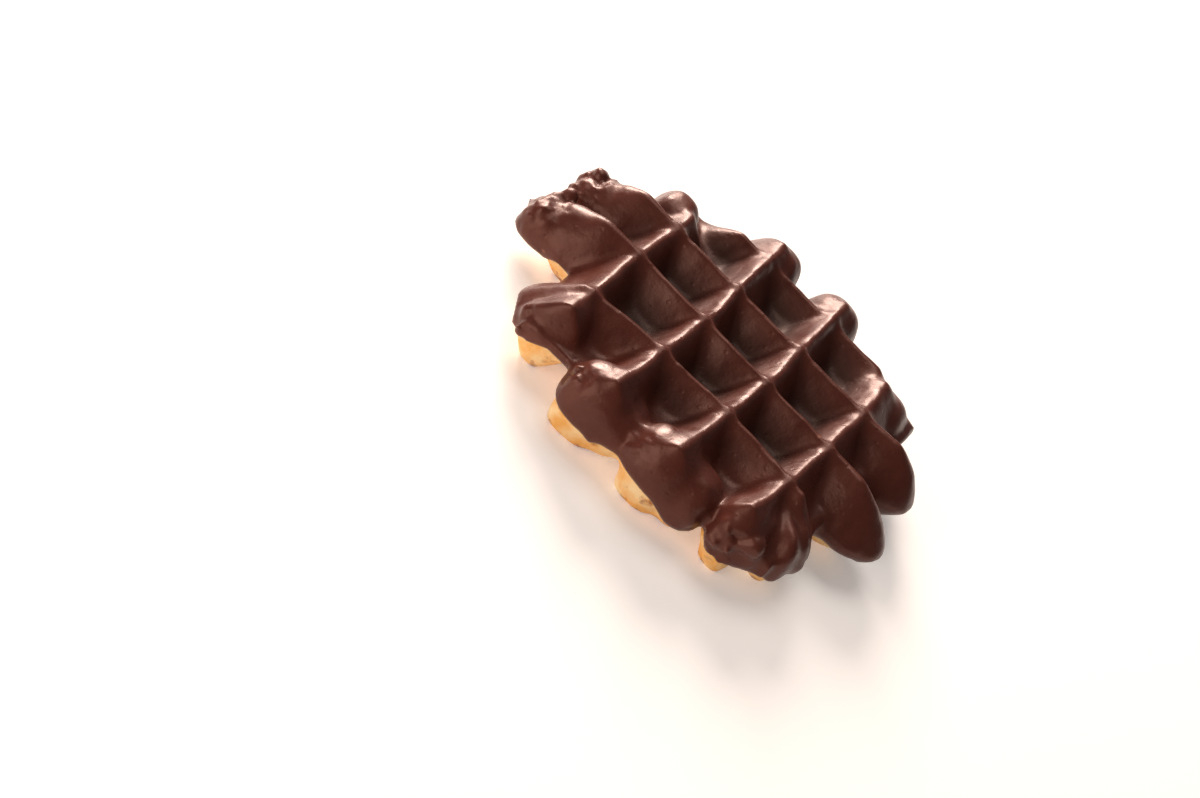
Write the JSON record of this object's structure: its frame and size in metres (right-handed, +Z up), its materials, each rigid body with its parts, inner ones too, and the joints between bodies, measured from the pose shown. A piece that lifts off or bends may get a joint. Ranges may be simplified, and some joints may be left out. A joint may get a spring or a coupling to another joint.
{
  "type": "liege waffle",
  "caption": "Oval waffle with deep square pockets between high ridges and rounded fingers of dough round its rim, its upper side covered with a coat of dark chocolate.",
  "frame": {"origin": "middle of the outline, on the surface that the waffle rests on", "axes": "+X along the long ridges, +Y along the cross ridges, +Z up through the coated side"},
  "size_m": [0.0967, 0.084, 0.0178],
  "materials": {
    "golden_waffle": "baked golden dough, matt, paler at the edges",
    "dark_chocolate": "set dark chocolate, satin gloss"
  },
  "bodies": {
    "root": {"waffle": "golden_waffle", "chocolate_coat": "dark_chocolate"}
  },
  "joints": []
}
